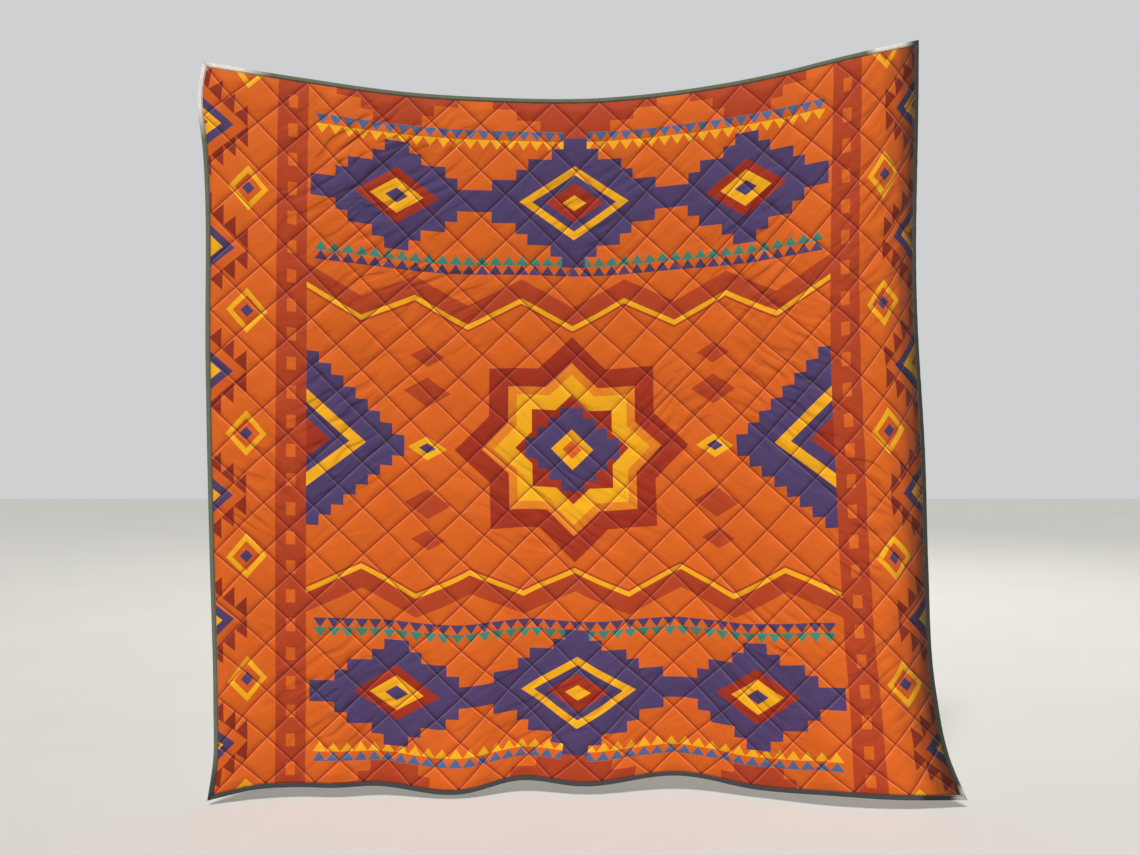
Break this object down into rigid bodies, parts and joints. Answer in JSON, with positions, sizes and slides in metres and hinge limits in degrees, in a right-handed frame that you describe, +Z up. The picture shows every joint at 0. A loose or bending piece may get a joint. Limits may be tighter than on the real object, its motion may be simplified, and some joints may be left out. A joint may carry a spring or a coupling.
{
  "type": "quilted bedspread",
  "caption": "Square quilted bedspread hanging by its top edge, with a diamond-quilted filled panel and a narrow edge binding.",
  "frame": {"origin": "middle of the top edge, on the outer side of the binding", "axes": "+Z up, +X to the viewer's right along the top edge, +Y away from the viewer, so the printed face looks along -Y"},
  "size_m": [1.9171, 0.1841, 1.916],
  "materials": {
    "panel_cloth": "printed brushed microfibre, soft sheen",
    "binding_tape": "matt woven tape"
  },
  "bodies": {
    "root": {"quilted_panel": "panel_cloth", "binding_top": "binding_tape", "binding_bottom": "binding_tape", "binding_left": "binding_tape", "binding_right": "binding_tape"}
  },
  "joints": []
}
